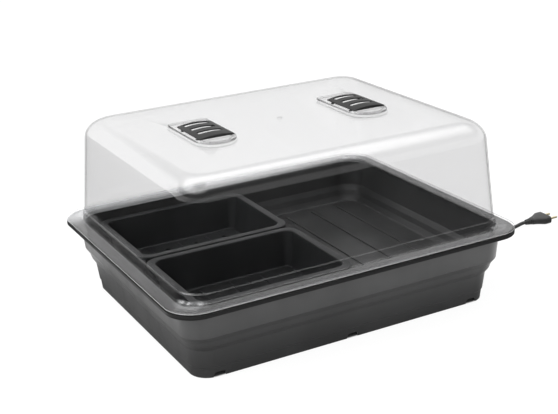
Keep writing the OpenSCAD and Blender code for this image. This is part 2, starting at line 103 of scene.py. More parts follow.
def corner_ring(half_l, half_w, r, z, cx=0.0, cy=0.0, n=CORNER_STEPS):
    """Plan of a rounded rectangle at height z."""
    pts = []
    for q, (sx, sy) in enumerate(QUADRANTS):
        for i in range(n + 1):
            a = math.radians(90 * q + 90 * i / n)
            x, y = sx * (half_l - r) + r * math.cos(a), sy * (half_w - r) + r * math.sin(a)
            pts.append((cx + x, cy + y, z))
    return pts


def housing_ring(off, z, cx):
    """Plan of a vent housing: a half circle in front, two small corners behind."""
    h, back, r = 31.0 - off, ARCH_REAR_Y - off, max(5.0 - off, 0.6)
    pts = []
    for sx, a0 in ((1, 0), (-1, 90)):
        for i in range(7):
            a = math.radians(a0 + 90 * i / 6)
            pts.append((cx + sx * (h - r) + r * math.cos(a), back - r + r * math.sin(a), z))
    for i in range(33):
        a = math.radians(180 + 180 * i / 32)
        pts.append((cx + h * math.cos(a), ARCH_FRONT_Y + h * math.sin(a), z))
    return pts


def new_object(name, verts, faces):
    mesh = bpy.data.meshes.new(name)
    mesh.from_pydata([Vector(v) * MM for v in verts], [], faces)
    obj = linked(name, mesh)
    outward(obj)
    return obj


def linked(name, data):
    obj = bpy.data.objects.new(name, data)
    bpy.context.scene.collection.objects.link(obj)
    return obj


def outward(obj):
    """Weld doubled points and turn every face outwards."""
    bm = bmesh.new()
    bm.from_mesh(obj.data)
    bmesh.ops.remove_doubles(bm, verts=bm.verts, dist=1e-7)
    bmesh.ops.recalc_face_normals(bm, faces=bm.faces)
    bm.to_mesh(obj.data)
    bm.free()


def loft(name, rings, closed=False):
    """A closed solid through rings of equal count, with flat ends, or joined end to end if closed."""
    n, m = len(rings[0]), len(rings)
    verts = [p for ring in rings for p in ring]
    faces = []
    for k in range(m if closed else m - 1):
        a, b = k * n, ((k + 1) % m) * n
        faces += [(a + i, a + (i + 1) % n, b + (i + 1) % n, b + i) for i in range(n)]
    if not closed:
        faces += [tuple(range(n)), tuple((m - 1) * n + i for i in reversed(range(n)))]
    return new_object(name, verts, faces)


def shell(name, l, w, path, cx=0.0, cy=0.0, steps=6, n=CORNER_STEPS):
    """A moulded shell: path runs once round its section, as (inset from l by w, z, plan radius, fillet)."""
    rings = [corner_ring(l / 2 - s, w / 2 - s, max(r, 0.5), z, cx, cy, n)
             for s, z, r in rounded_path(path, steps)]
    return loft(name, rings)


def cuboid(name, lo, hi):
    plan = [(lo[0], lo[1]), (hi[0], lo[1]), (hi[0], hi[1]), (lo[0], hi[1])]
    return loft(name, [[(x, y, z) for x, y in plan] for z in (lo[2], hi[2])])


def bar(name, start, axis, length, r, n=32, end_r=None):
    """Round bar from start along axis, which may taper to end_r."""
    return turned(name, start, [(0, r), (length, r if end_r is None else end_r)], axis, n)


def turned(name, centre, profile, axis="z", n=48):
    """A turned solid: profile is (height, radius) from one end to the other, along axis x or z."""
    rings = []
    for t, r in profile:
        ring = []
        for i in range(n):
            a = 2 * math.pi * i / n
            u, v = max(r, 0.01) * math.cos(a), max(r, 0.01) * math.sin(a)
            p = (t, u, v) if axis == "x" else (u, v, t)
            ring.append(tuple(c + d for c, d in zip(centre, p)))
        rings.append(ring)
    return loft(name, rings)


def bake_modifiers(obj):
    graph = bpy.context.evaluated_depsgraph_get()
    mesh = bpy.data.meshes.new_from_object(obj.evaluated_get(graph))
    old = obj.data
    obj.modifiers.clear()
    obj.data = mesh
    mesh.name = obj.name
    bpy.data.meshes.remove(old)


def joined(name, objs):
    """One object of several that don't touch."""
    bm = bmesh.new()
    for o in objs:
        bm.from_mesh(o.data)
        discard(o)
    mesh = bpy.data.meshes.new(name)
    bm.to_mesh(mesh)
    bm.free()
    return linked(name, mesh)


def discard(obj):
    mesh = obj.data
    bpy.data.objects.remove(obj)
    bpy.data.meshes.remove(mesh)


def boolean(obj, tools, operation):
    for tool in tools:
        m = obj.modifiers.new("boolean", "BOOLEAN")
        m.operation, m.solver, m.object = operation, "EXACT", tool
    bake_modifiers(obj)
    for tool in tools:
        discard(tool)
    return obj


def cut(obj, *tools):
    return boolean(obj, tools, "DIFFERENCE")


def add(obj, *tools):
    return boolean(obj, tools, "UNION")


def soften(obj, width, segments=2, angle=40):
    """Round every edge sharper than angle."""
    m = obj.modifiers.new("edge", "BEVEL")
    m.width, m.segments = width * MM, segments
    m.limit_method, m.angle_limit = "ANGLE", math.radians(angle)
    m.use_clamp_overlap = True
    m.harden_normals = False
    bake_modifiers(obj)
    return obj


def smooth(obj, angle=30):
    obj.data.shade_smooth()
    obj.data.set_sharp_from_angle(angle=math.radians(angle))
    return obj


# ---------------------------------------------------------------- base tray
# Section of the tray as (inset from the rim, z, plan radius, fillet): first the inner side up, then the rim,
# then the outer side down over two shoulders to the ground, and last the underside up to the false floor
TRAY_PATH = [
    (150, FLOOR_Z, 5, 0), (80, FLOOR_Z, 14, 0), (36.6, FLOOR_Z, 26, 4), (30.8, 52.9, 30.4, 3),
    (28.4, 61.2, 31.2, 3), (23.6, 69.8, 32.4, 4), (20.2, 111, 33.6, 0), (20.2, SEAT_Z, 33.6, 1.2),
    (9, SEAT_Z, 39, 0), (2.6, SEAT_Z, 41, 0.8), (2.6, SEAT_Z - 2.4, 41, 0.5),
    (0, SEAT_Z - 2.5, RIM_R, 0.9), (0, SEAT_Z - 8, RIM_R, 0.9), (2.2, SEAT_Z - 8, 41, 0.6),
    (2.2, SEAT_Z - 4.8, 41, 0.8), (6.4, SEAT_Z - 4.8, 40, 0.8), (6.8, SEAT_Z - 2.4, 40, 0.8),
    (17.6, SEAT_Z - 2.4, 36, 1.6), (21.1, 68.4, 34.4, 3.5), (26.1, 60.2, 33, 3.5), (28.3, 51.8, 32.6, 3.5),
    (32.9, 44.0, 31.4, 4), (35.6, 18.4, 30.3, 0), (35.9, 16.8, 30.1, 1.2), (37.0, 15.4, 29.6, 1.0),
    ((RIM_L - FOOT_L) / 2, 0, FOOT_R, 1.0), (41.2, 0, 26.6, 0.7), (39.7, 15.6, 27.2, 1.5),
    (38.6, 17.2, 27.8, 1.5), (35.8, CEILING_Z, 28.8, 3), (80, CEILING_Z, 14, 0), (150, CEILING_Z, 5, 0),
]


def notch(x, y):
    """Cutter for one drain notch in the tray's bottom edge: an opening with rounded upper corners."""
    half, radius, steps, depth = NOTCH_W / 2, 5.0, 8, 12
    centre_z = NOTCH_H - radius
    arch = [(x - half, -1), (x + half, -1)]
    for start, middle in ((0, x + half - radius), (90, x - half + radius)):
        for k in range(steps + 1):
            a = math.radians(start + 90 * k / steps)
            arch.append((middle + radius * math.cos(a), centre_z + radius * math.sin(a)))
    return loft("notch", [[(u, v, w) for u, w in arch] for v in (y - depth / 2, y + depth / 2)])


def bored_post(name, x, y, low, r, r_top, bore_low, bore_length, bore_r):
    """Screw post hanging from the false floor, open at its lower end."""
    post = bar(name, (x, y, low), "z", POST_TOP - low, r, 24, r_top)
    return cut(post, bar("bore", (x, y, bore_low), "z", bore_length, bore_r, 16))


def build_base_tray():
    tray = shell("base_tray_shell", RIM_L, RIM_W, TRAY_PATH, steps=7)
    wall_hole = (LEAD_Y, WALL_HOLE_Z)
    notches = [notch(x, side * (RIM_W / 2 - 40.5)) for x in NOTCHES_X for side in (-1, 1)]
    cut(tray, joined("notches", notches + [bar("pad_hole", (237.5, *wall_hole), "x", 12, 9)]))

    parts = [bored_post("post", x, y, 13, 4.5, 4.9, 11, 18, 1.3) for x, y in PLATE_POSTS]
    parts += [bored_post("clamp_post", 226, LEAD_Y + 11 * s, 21, 3.5, 3.9, 20, 14, 1.1) for s in (-1, 1)]
    parts.append(cuboid("saddle", (222, LEAD_Y - 4.5, 27.16), (230, LEAD_Y + 4.5, POST_TOP)))
    pad = turned("pad", (238.5, *wall_hole), [(0, 10), (7.3, 10), (8.1, 9.2)], "x")
    parts.append(cut(pad, bar("bore", (237, *wall_hole), "x", 12, 5)))
    for k in range(-4, 5):
        low, high = (k * 50 - 1.6, -176, FLOOR_Z - 0.5), (k * 50 + 1.6, 176, FLOOR_Z + 1.6)
        parts.append(soften(cuboid("rib", low, high), 0.55))
    add(tray, joined("tray_features", parts))
    return smooth(tray)


# ---------------------------------------------------------------- dome
def housing_levels(cx, extra):
    """Rings of one vent housing; extra is how far inside the outer skin they lie."""
    base, top, fillet = TOP_Z - extra, HOUSING_Z - extra, 1.2
    rings = [housing_ring(extra - off, base + rise, cx)
             for off, rise in ((1.4, -3), (1.4, 0), (0.6, 0.35), (0.1, 1.1))]
    for k in range(5):
        a = math.radians(90 * k / 4)
        inward, down = fillet * (1 - math.cos(a)), fillet * (1 - math.sin(a))
        rings.append(housing_ring(extra + inward, top - down, cx))
    return rings


def recess_ring(off, z, cx):
    """Finger scoop: follows the round front, and is cut off square at the slider."""
    half, front, rear, steps = 26.0 - off, ARCH_FRONT_Y, RECESS_Y - off, 40
    edge = math.asin(min(1, (front - rear) / half))
    pts = []
    for i in range(steps + 1):
        a = math.pi + edge + (math.pi - 2 * edge) * i / steps
        pts.append((cx + half * math.cos(a), front + half * math.sin(a), z))
    return pts


def dome_path():
    """Section of the dome: outer side down to the flange, its lip and spigot, then the inner side up."""
    foot, bend, t = 131.9, 190.0, DOME_T
    flange, crest, under = SEAT_Z + 1.7, SEAT_Z + FLANGE_T, SEAT_Z + 0.08
    low, high = SEAT_Z - 3.8, TOP_Z - t

    def wall(z):
        """Inset of the leaning wall at z."""
        return 24.2 + 0.0757 * (z - foot)

    outer = [
        (150, TOP_Z + 0.35, 2, 0), (110, TOP_Z + 0.2, 2, 0), (wall(TOP_Z), TOP_Z, 38, 34),
        (wall(bend), bend, 37.4, 0), (wall(foot), foot, 36.6, 1.4), (22.2, foot - 1.5, 37.2, 1.2),
        (21.3, flange, 36.9, 2.2), (4.5, flange, 41, 0), (3.6, crest, 41.2, 0.8), (1.4, crest, 42, 0.8),
        (-0.2, SEAT_Z + 1.4, RIM_R, 0.7), (-0.2, SEAT_Z + 0.1, RIM_R, 0.3), (1.0, under, 42, 0),
        (21.4, under, 36.8, 0.5), (21.9, low, 36.6, 0.3), (23.5, low, 35, 0.3),
    ]
    inner = [
        (21.7 + t, SEAT_Z + 1, 35.2, 1.0), (22.2 + t, foot - 2.3, 35.6, 1.2),
        (wall(foot) + t, foot - 0.7, 35, 1.2), (wall(bend) + t, bend, 35.8, 0),
        (wall(TOP_Z) + t, high, 36.4, 32.4),
        (110, high + 0.2, 2, 0), (150, high + 0.35, 2, 0),
    ]
    return outer + inner


def add_housing(dome, cx):
    """One vent housing with its finger scoop, its three slots and the slots for the slider's legs."""
    above, below = 300, 270
    add(dome, loft("housing", housing_levels(cx, 0.0)))
    inside = loft("housing_inside", housing_levels(cx, DOME_T))
    skin = loft("recess_skin", [recess_ring(-DOME_T, z, cx) for z in (TOP_Z + 0.2, above)])
    cut(inside, skin)
    levels = ((1.6, TOP_Z + 1.8), (0.9, TOP_Z + 2.1), (0.2, TOP_Z + 3.0), (0, above))
    scoop = loft("scoop", [recess_ring(off, z, cx) for off, z in levels])
    slots = [cuboid("slot", (cx - SLOT_X, y - 2.6, below), (cx + SLOT_X, y + 2.6, above)) for y in SLOTS_Y]
    slots += [cuboid("leg_slot", (cx + x - 1.3, y - 14.6, below), (cx + x + 1.3, y + 4, above))
              for x in (-LEG_X, LEG_X) for y in LEGS_Y]
    cut(dome, inside)
    cut(dome, scoop)
    cut(dome, joined("slots", slots))


def build_dome():
    dome = shell("dome_shell", RIM_L, RIM_W, dome_path(), steps=8)
    for cx in (-VENT_X, VENT_X):
        add_housing(dome, cx)
    # Mark of the moulding gate: a low ring with a short stub in its middle
    profile = [(-0.6, 7.6), (0.55, 7.2), (0.75, 6.6), (0.5, 5.9),
               (0.35, 3.6), (2.0, 3.2), (2.2, 2.8), (2.2, 0.3)]
    add(dome, turned("gate", (0, 0, 0), [(TOP_Z + z, r) for z, r in profile]))
    return smooth(dome, 28)


# ---------------------------------------------------------------- vent sliders
def build_slider(name, cx):
    """Arched shell, open at the rear, with three wide slots, a collar round each, and four hooked legs."""
    half, length, edge, crown, t = 27.0, 78.0, 1.6, 3.0, 1.8
    y0, z0 = -48.5, HOUSING_Z + 0.2
    slot_y, collar, collar_low, collar_high = 5.0, 1.4, 2.7, 2.9
    leg_y, leg_low, hook_l, hook_top = 1.6, 3.6, 3.6, 2.0
    radius = (half * half + crown * crown) / (2 * crown)
    crest = edge + crown - radius

    def arch(shrink, low):
        """Cross-section: an arc over two short upright sides, shrunk evenly."""
        h, r = half - shrink, radius - shrink
        reach = math.asin(h / r)
        arc = [(cx + r * math.sin(a), crest + r * math.cos(a))
               for a in (reach - 2 * reach * i / 40 for i in range(41))]
        return [(cx + h, low)] + arc + [(cx - h, low)]

    body = loft(name, [[(x, y, z0 + z) for x, z in arch(0, 0)] for y in (y0, y0 + length)])
    soften(body, 0.7, 3, 30)
    cut(body, loft("hollow", [[(x, y, z0 + z) for x, z in arch(t, -2)] for y in (y0 + t, y0 + length + 1)]))
    collars = [cuboid("collar", (cx - SLOT_X - collar, y - slot_y - collar, z0 + collar_low),
                      (cx + SLOT_X + collar, y + slot_y + collar, z0 + collar_high)) for y in SLOTS_Y]
    add(body, joined("collars", collars))
    openings = [loft("opening", [corner_ring(SLOT_X, slot_y, 1.6, z, cx, y, 5) for z in (z0 - 2, z0 + 12)])
                for y in SLOTS_Y]
    cut(body, joined("openings", openings))
    for side in (-1, 1):
        x = cx + side * LEG_X
        hook_x = x - 1 if side > 0 else x + 1 - hook_l
        for y in LEGS_Y:
            low, high = y - leg_y, y + leg_y
            add(body, cuboid("leg", (x - 1, low, z0 - leg_low), (x + 1, high, z0 + 1.5)))
            add(body, cuboid("hook", (hook_x, low, z0 - leg_low), (hook_x + hook_l, high, z0 - hook_top)))
    return smooth(body)


# ---------------------------------------------------------------- seed trays
def build_seed_tray(name, cx, cy):
    """Half-size seed tray: turned-down lip, leaning walls, drain holes and three ribs in its floor."""
    l, w, z0, h, lip, lean, t, pitch = 250.0, 188.0, 45.5, 57.0, 10.0, 8.0, 1.4, 50
    top, lip_low = z0 + h, z0 + h - 5
    path = [
        (60, z0 + t, 3, 0), (lip + lean + t, z0 + t, 9.6, 3.2), (lip + t + 0.4, top - 4, 14.6, 0),
        (lip + t, top - 0.2, 14.6, 1.8), (lip - 1, top, 15.6, 0), (0, top, 22, 1.4), (0, lip_low, 22, 0.4),
        (t, lip_low, 20.6, 0.4), (t, top - t, 20.6, 0.8), (lip - 0.4, top - t, 16, 1.4),
        (lip, lip_low, 16, 0), (lip + lean, z0, 11, 4.4), (60, z0, 3, 0),
    ]
    tray = shell(name, l, w, path, cx, cy, n=14)
    drains = [bar("drain", (cx + x * pitch, cy + y * 48, z0 - 1), "z", 4, 3.5, 24)
              for x in (-1.5, -0.5, 0.5, 1.5) for y in (-1, 0, 1)]
    cut(tray, joined("drains", drains))
    ribs = []
    for x in (cx - pitch, cx, cx + pitch):
        rib = cuboid("rib", (x - 1, cy - 66, z0 + t - 0.3), (x + 1, cy + 66, z0 + t + 1.2))
        ribs.append(soften(rib, 0.4))
    add(tray, joined("seed_ribs", ribs))
    return smooth(tray)


# ---------------------------------------------------------------- mains lead and plug
def swept_tube(name, points, radius, n=20):
    """A round tube along smooth points."""
    rings = []
    side = Vector((0, 1, 0))
    for i, p in enumerate(points):
        tangent = (points[min(i + 1, len(points) - 1)] - points[max(i - 1, 0)]).normalized()
        side = (side - tangent * side.dot(tangent)).normalized()
        up = tangent.cross(side)
        rings.append([tuple(p + side * (radius * math.cos(a)) + up * (radius * math.sin(a)))
                      for a in [2 * math.pi * k / n for k in range(n)]])
    return loft(name, rings)


def lead_centre(x):
    """Centre of the lead at x: out of the wall, down to the ground with a sway, and up into the plug."""
    def clamped(t):
        return min(1, max(0, t))

    def ease(t):
        return 0.5 - 0.5 * math.cos(math.pi * clamped(t))

    z = lerp(WALL_HOLE_Z, LEAD_R, ease((x - 264) / 45)) + (PIN_Z - LEAD_R) * ease((x - 455) / 24)
    sway = 7.0 * math.sin(math.pi * clamped((x - 318) / 128.7)) ** 2
    return Vector((x, LEAD_Y + LEAD_SWAY * sway, z))


def build_lead():
    start, end, steps = 211, 488, 180
    points = [lead_centre(start + i * (end - start) / steps) for i in range(steps + 1)]
    lead = swept_tube("mains_lead", points, LEAD_R)
    bores = [bar("bore", (209, LEAD_Y + s * 1.35, WALL_HOLE_Z), "x", 6, 1.15, 20) for s in (-1, 1)]
    cut(lead, joined("core_bores", bores))
    return smooth(lead)


def build_plug():
    """Flat two-pin plug with a grooved strain relief behind it."""
    face_x, relief_x, groove_w = 527.0, 482.0, 1.2
    # Sections of the body as (distance behind the face, half width, half height, corner radius)
    stations = [(0.0, 16.9, 6.3, 5.6), (0.6, 17.5, 6.85, 6.2), (9, 17.5, 6.85, 6.2), (12, 17.1, 6.7, 6.1),
                (19, 12.8, 6.3, 5.9), (25, 9.4, 6.2, 5.9), (30, 8.0, 6.2, 5.9), (31.5, 7.2, 5.9, 5.6)]
    rings = [[(face_x - back, y, z) for y, z, _ in corner_ring(half_w, half_h, r, 0, LEAD_Y, PIN_Z, 8)]
             for back, half_w, half_h, r in stations]
    plug = loft("plug_shell", rings)
    axis = (0, LEAD_Y, PIN_Z)
    relief = turned("relief", axis, [(relief_x, 4.0), (relief_x + 0.8, 4.5), (relief_x + 16, 6.6)], "x", 32)
    for k in range(3):
        low = relief_x + 2.5 + 3.2 * k
        high = low + groove_w
        groove = turned("groove", axis, [(low, 4.35), (low, 8), (high, 8), (high, 4.35)], "x", 32)
        cut(relief, cut(groove, bar("core", (relief_x - 2, LEAD_Y, PIN_Z), "x", 20, 4.1)))
    add(plug, relief)
    tools = [bar("pin_hole", (520.9, LEAD_Y + s * 9.3, PIN_Z), "x", 8, 1.65, 24) for s in (-1, 1)]
    tools.append(bar("lead_hole", (relief_x - 2, LEAD_Y, PIN_Z), "x", 8, 3.2, 24))
    cut(plug, joined("plug_holes", tools))
    return smooth(plug, 32)


# ---------------------------------------------------------------- materials
class Graph:
    """Small helper around the node tree of a material or world."""

    def __init__(self, owner, output="ShaderNodeOutputMaterial"):
        owner.use_nodes = True
        self.owner = owner
        self.tree = owner.node_tree
        self.tree.nodes.clear()
        self.out = self.node(output)

    def node(self, kind, **props):
        n = self.tree.nodes.new(kind)
        for k, v in props.items():
            setattr(n, k, v)
        return n

    def link(self, a, b):
        self.tree.links.new(a, b)

    def value(self, socket, v):
        if isinstance(v, bpy.types.NodeSocket):
            self.link(v, socket)
        else:
            socket.default_value = v

    def math(self, op, a, b=0.0, c=0.0):
        n = self.node("ShaderNodeMath", operation=op)
        for s, v in zip(n.inputs, (a, b, c)):
            self.value(s, v)
        return n.outputs[0]

    def times(self, a, b, *more):
        product = self.math("MULTIPLY", a, b)
        return self.times(product, *more) if more else product

    def less(self, a, b):
        return self.math("SUBTRACT", a, b)

    def plus(self, a, b):
        return self.math("ADD", a, b)

    def size(self, a):
        return self.math("ABSOLUTE", a)

    def mix(self, t, a, b):
        n = self.node("ShaderNodeMix", data_type="RGBA")
        self.value(n.inputs[0], t)
        self.value(n.inputs[6], a)
        self.value(n.inputs[7], b)
        return n.outputs[2]

    def blend(self, t, a, b):
        """Shader a where t is 0, shader b where t is 1."""
        n = self.node("ShaderNodeMixShader")
        self.value(n.inputs[0], t)
        self.link(a, n.inputs[1])
        self.link(b, n.inputs[2])
        return n.outputs[0]

    def xyz(self, vector):
        n = self.node("ShaderNodeSeparateXYZ")
        self.link(vector, n.inputs[0])
        return n.outputs

    def dot(self, a, b):
        n = self.node("ShaderNodeVectorMath", operation="DOT_PRODUCT")
        self.link(a, n.inputs[0])
        self.link(b, n.inputs[1])
        return n.outputs["Value"]

    def geometry(self, output):
        return self.node("ShaderNodeNewGeometry").outputs[output]

    def position(self, scale=(1, 1, 1)):
        m = self.node("ShaderNodeMapping")
        m.inputs["Scale"].default_value = scale
        self.link(self.node("ShaderNodeTexCoord").outputs["Object"], m.inputs["Vector"])
        return m.outputs[0]

    def noise(self, scale, detail=4.0, rough=0.55, stretch=(1, 1, 1)):
        n = self.node("ShaderNodeTexNoise")
        self.link(self.position(stretch), n.inputs["Vector"])
        n.inputs["Scale"].default_value = scale
        n.inputs["Detail"].default_value = detail
        n.inputs["Roughness"].default_value = rough
        return n.outputs["Fac"]

    def ramp(self, fac, start, end, shape="SMOOTHSTEP"):
        """Goes from start to end, each (value of fac, result), and stays level beyond them."""
        n = self.node("ShaderNodeMapRange", interpolation_type=shape)
        self.value(n.inputs[0], fac)
        for i, v in enumerate((start[0], end[0], start[1], end[1])):
            n.inputs[1 + i].default_value = v
        return n.outputs[0]

    def ramp_mm(self, fac, start, end):
        """A ramp over a length in millimetres."""
        return self.ramp(fac, (start[0] * MM, start[1]), (end[0] * MM, end[1]))

    def worn_edge(self, radius):
        """1 on convex edges about radius wide, 0 elsewhere."""
        b = self.node("ShaderNodeBevel", samples=4)
        b.inputs["Radius"].default_value = radius * MM
        turn = self.less(1.0, self.dot(b.outputs[0], self.geometry("Normal")))
        return self.ramp(turn, (0.01, 0.0), (0.16, 1.0))

    def beyond(self, place, length, width, radius):
        """Distance in metres outside a rounded rectangle about the origin, negative inside its edge."""
        squares = []
        for axis, side in ((0, length), (1, width)):
            past = self.less(self.size(place[axis]), (side / 2 - radius) * MM)
            squares.append(self.math("POWER", self.math("MAXIMUM", past, 0.0), 2.0))
        return self.less(self.math("SQRT", self.plus(*squares)), radius * MM)

    def rim_band(self, low, high):
        """1 on the outermost 4 mm of the rim between two heights in millimetres, 0 elsewhere."""
        place = self.xyz(self.position())
        outer = self.ramp_mm(self.beyond(place, RIM_L, RIM_W, RIM_R), (-4, 0.0), (-3, 1.0))
        above = self.ramp_mm(place[2], (low - 0.2, 0.0), (low + 0.2, 1.0))
        below = self.ramp_mm(place[2], (high - 0.2, 1.0), (high + 0.2, 0.0))
        return self.times(above, below, outer)

    def bump(self, height, distance, strength=1.0, normal=None):
        b = self.node("ShaderNodeBump")
        b.inputs["Strength"].default_value = strength
        b.inputs["Distance"].default_value = distance * MM
        self.link(height, b.inputs["Height"])
        if normal is not None:
            self.link(normal, b.inputs["Normal"])
        return b.outputs[0]

    def principled(self, colour, rough, normal=None, **more):
        p = self.node("ShaderNodeBsdfPrincipled")
        self.value(p.inputs["Base Color"], colour)
        self.value(p.inputs["Roughness"], rough)
        if normal is not None:
            self.link(normal, p.inputs["Normal"])
        for k, v in more.items():
            self.value(p.inputs[k.replace("_", " ")], v)
        return p.outputs[0]

    def finish(self, shader):
        self.link(shader, self.out.inputs["Surface"])
        return self.owner


def new_graph(name):
    return Graph(bpy.data.materials.new(name))


def rgb(r, g, b):
    return (r, g, b, 1.0)


def grey(v, warm=0.0):
    return (v * (1 + warm), v, v * (1 - warm), 1.0)


def shade(colour, factor, lift=0.0):
    """A darker or lighter version of a colour."""
    return tuple(min(1, c * factor + lift) for c in colour[:3]) + (1.0,)


def moulded_plastic(name, base, rough, texture, grain, edge, dust=0.0, gloss=1.0, matt_top=0.0, shadow_band=None):
    """Moulded plastic: fine mould texture (its depth in mm), faint flow and scuffs, edges rubbed lighter.

    Upward faces are dusty and, by matt_top, less glossy. The last argument gives a band of the rim by its two
    heights in mm, made darker and duller: painted shade, in place of the shadow gap under the dome's flange.
    """
    g = new_graph(name)
    broad = g.noise(6.0, 3.0)
    scuff = g.noise(34.0, 8.0, 0.72, (1.0, 1.0, 0.35))
    fine = g.noise(grain, 2.0, 0.5)
    colour = g.mix(g.ramp(broad, (0.35, 0.0), (0.65, 1.0)), shade(base, 0.84), shade(base, 1.18, 0.002))
    worn = g.times(g.ramp(scuff, (0.38, 0.25), (0.62, 1.0)), edge, g.worn_edge(1.1))
    colour = g.mix(worn, colour, shade(base, 2.3, 0.03))
    upward = g.math("MAXIMUM", g.xyz(g.geometry("Normal"))[2], 0.0)
    if dust > 0:
        film = g.times(upward, g.ramp(scuff, (0.42, 0.0), (0.75, dust)))
        colour = g.mix(film, colour, rgb(0.32, 0.31, 0.29))
    shine = g.less(0.5 * gloss, g.times(upward, 0.5 * gloss * matt_top))
    # Painted shade: the rim band is darkened and dulled to stand in for the shadow gap under the dome's
    # flange
    if shadow_band:
        band = g.rim_band(*shadow_band)
        colour = g.mix(band, colour, grey(0.012))
        shine = g.times(shine, g.less(1.0, g.times(band, 0.75)))
    scuffed = g.times(g.ramp(scuff, (0.35, 0.0), (0.7, 1.0)), 0.08)
    roughness = g.plus(scuffed, g.plus(rough, g.times(broad, 0.05)))
    normal = g.bump(fine, texture, 0.6)
    return g.finish(g.principled(colour, roughness, normal, IOR=1.49, Specular_IOR_Level=shine))


def clear_plastic(name):
    """Thin clear moulding: seen straight through, mirrors weakly, darker where the view skims a wall."""
    g = new_graph(name)
    flow = g.noise(2.6, 2.0, 0.45, (1.0, 1.0, 0.6))
    fine = g.noise(30.0, 3.0, 0.5, (1.0, 1.0, 0.4))
    scuff = g.noise(60.0, 6.0, 0.7)
    place = g.xyz(g.position())
    x, y, z = g.size(place[0]), place[1], place[2]
    upright = g.ramp(g.size(g.xyz(g.geometry("Normal"))[2]), (0.35, 1.0), (0.8, 0.0))

    # Mirroring and loss both grow as the view slants
    facing = g.math("MINIMUM", g.size(g.dot(g.geometry("Normal"), g.geometry("Incoming"))), 1.0)
    slant = g.less(1.0, facing)
    fresnel = g.plus(0.05, g.times(0.25, g.math("POWER", slant, 5.0)))
    inside = g.math("SQRT", g.less(1.0, g.times(g.less(1.0, g.times(facing, facing)), 0.44)))
    absorbed = g.math("POWER", math.e, g.math("DIVIDE", -0.034, inside))
    skim = g.less(1.0, g.times(0.66, g.math("POWER", slant, 10.0)))
    # The short walls of the vent housings are thick, so they look darker from the side
    raised = g.ramp_mm(z, (TOP_Z + 0.6, 0.0), (TOP_Z + 1.6, 1.0))
    sideways = g.ramp(slant, (0.25, 0.12), (0.6, 0.45))
    through = g.times(absorbed, skim, g.less(1.0, g.times(raised, upright, sideways)))
    tint = g.node("ShaderNodeCombineColor")
    for channel, part in enumerate((0.999, 0.9985, 1.0)):
        g.value(tint.inputs[channel], g.times(through, part))
    clear = g.node("ShaderNodeBsdfTransparent")
    g.link(tint.outputs[0], clear.inputs[0])

    # The straight parts of the foot mirror less
    foot = g.times(g.ramp_mm(z, (SEAT_Z + 4, 0.0), (SEAT_Z + 8, 0.7)),
                   g.ramp_mm(z, (SEAT_Z + 19, 1.0), (SEAT_Z + 25, 0.0)),
                   g.ramp_mm(x, (215, 1.0), (235, 0.0)))
    gloss = g.node("ShaderNodeBsdfGlossy")
    g.value(gloss.inputs["Color"], g.times(skim, g.less(1.0, foot)))
    g.value(gloss.inputs["Roughness"], g.ramp(scuff, (0.4, 0.03), (0.75, 0.10)))
    g.link(g.bump(flow, 1.2, 0.5, g.bump(fine, 0.03, 0.3)), gloss.inputs["Normal"])

    # Haze: a trace everywhere, from scuffs. The rest is painted light in the same pale diffuse: a painted
    # highlight on the flange's outer edge, painted glints in spots where the foot's corners meet the flange,
    # and a painted reflection as a pale sheet on the rear flange
    edge_highlight = g.times(g.rim_band(SEAT_Z, SEAT_Z + 2.5), upright, 0.30)
    corner = g.times(g.ramp_mm(x, (224, 0.0), (240, 1.0)), g.ramp_mm(g.size(y), (176, 0.0), (192, 1.0)))
    fillet = g.times(g.ramp_mm(z, (117.6, 0.0), (118.4, 1.0)), g.ramp_mm(z, (119.5, 1.0), (122.5, 0.0)))
    inboard = g.ramp_mm(g.beyond(place, RIM_L, RIM_W, RIM_R), (-14, 1.0), (-10, 0.0))
    glints = g.times(corner, fillet, inboard, g.ramp(g.noise(120.0, 1.0), (0.40, 0.08), (0.60, 0.34)))
    rear_reflection = g.times(g.ramp_mm(y, (150, 0.0), (215, 1.0)), g.ramp_mm(place[0], (20, 0.26), (220, 0.12)),
                   g.ramp_mm(z, (119.5, 1.0), (132, 0.0)))
    trace = g.ramp(scuff, (0.5, 0.0), (0.85, 0.003))
    haze_and_highlights = g.node("ShaderNodeBsdfDiffuse")
    haze_and_highlights.inputs["Color"].default_value = rgb(0.9, 0.91, 0.92)
    haze_and_highlight_mask = g.plus(g.plus(edge_highlight, glints), g.plus(rear_reflection, trace))
    body = g.blend(haze_and_highlight_mask, clear.outputs[0], haze_and_highlights.outputs[0])
    return g.finish(g.blend(fresnel, body, gloss.outputs[0]))


def metal(name, colour, rough, stretch, scale, scratch, spot):
    """Metal with fine scratches, drawn out by stretch, and dull spots."""
    g = new_graph(name)
    lines = g.noise(scale, 6.0, 0.7, stretch)
    stain = g.noise(28.0, 5.0, 0.65)
    c = g.mix(g.times(g.ramp(stain, (0.45, 0.0), (0.72, 1.0)), spot), colour, shade(colour, 0.62))
    r = g.plus(rough, g.times(g.ramp(lines, (0.3, 0.0), (0.7, 1.0)), 0.16))
    return g.finish(g.principled(c, r, g.bump(lines, scratch, 0.7), Metallic=1.0))


def soft_solid(name, colour, rough, cell, depth, mottle):
    """Foam, sleeves and cords: an open, matt surface with visible cells or weave."""
    g = new_graph(name)
    v = g.node("ShaderNodeTexVoronoi", feature="F1")
    g.link(g.position(), v.inputs["Vector"])
    v.inputs["Scale"].default_value = cell
    cloud = g.noise(18.0, 5.0)
    dark = shade(colour, 1 - mottle)
    c = g.mix(g.ramp(cloud, (0.35, 0.0), (0.7, 1.0)), dark, colour)
    c = g.mix(g.ramp(v.outputs["Distance"], (0.1, 0.35), (0.6, 0.0)), c, dark)
    r = g.plus(rough, g.times(cloud, 0.1))
    return g.finish(g.principled(c, r, g.bump(v.outputs["Distance"], depth, 0.5)))


def assign(obj, mat):
    obj.data.materials.clear()
    obj.data.materials.append(mat)
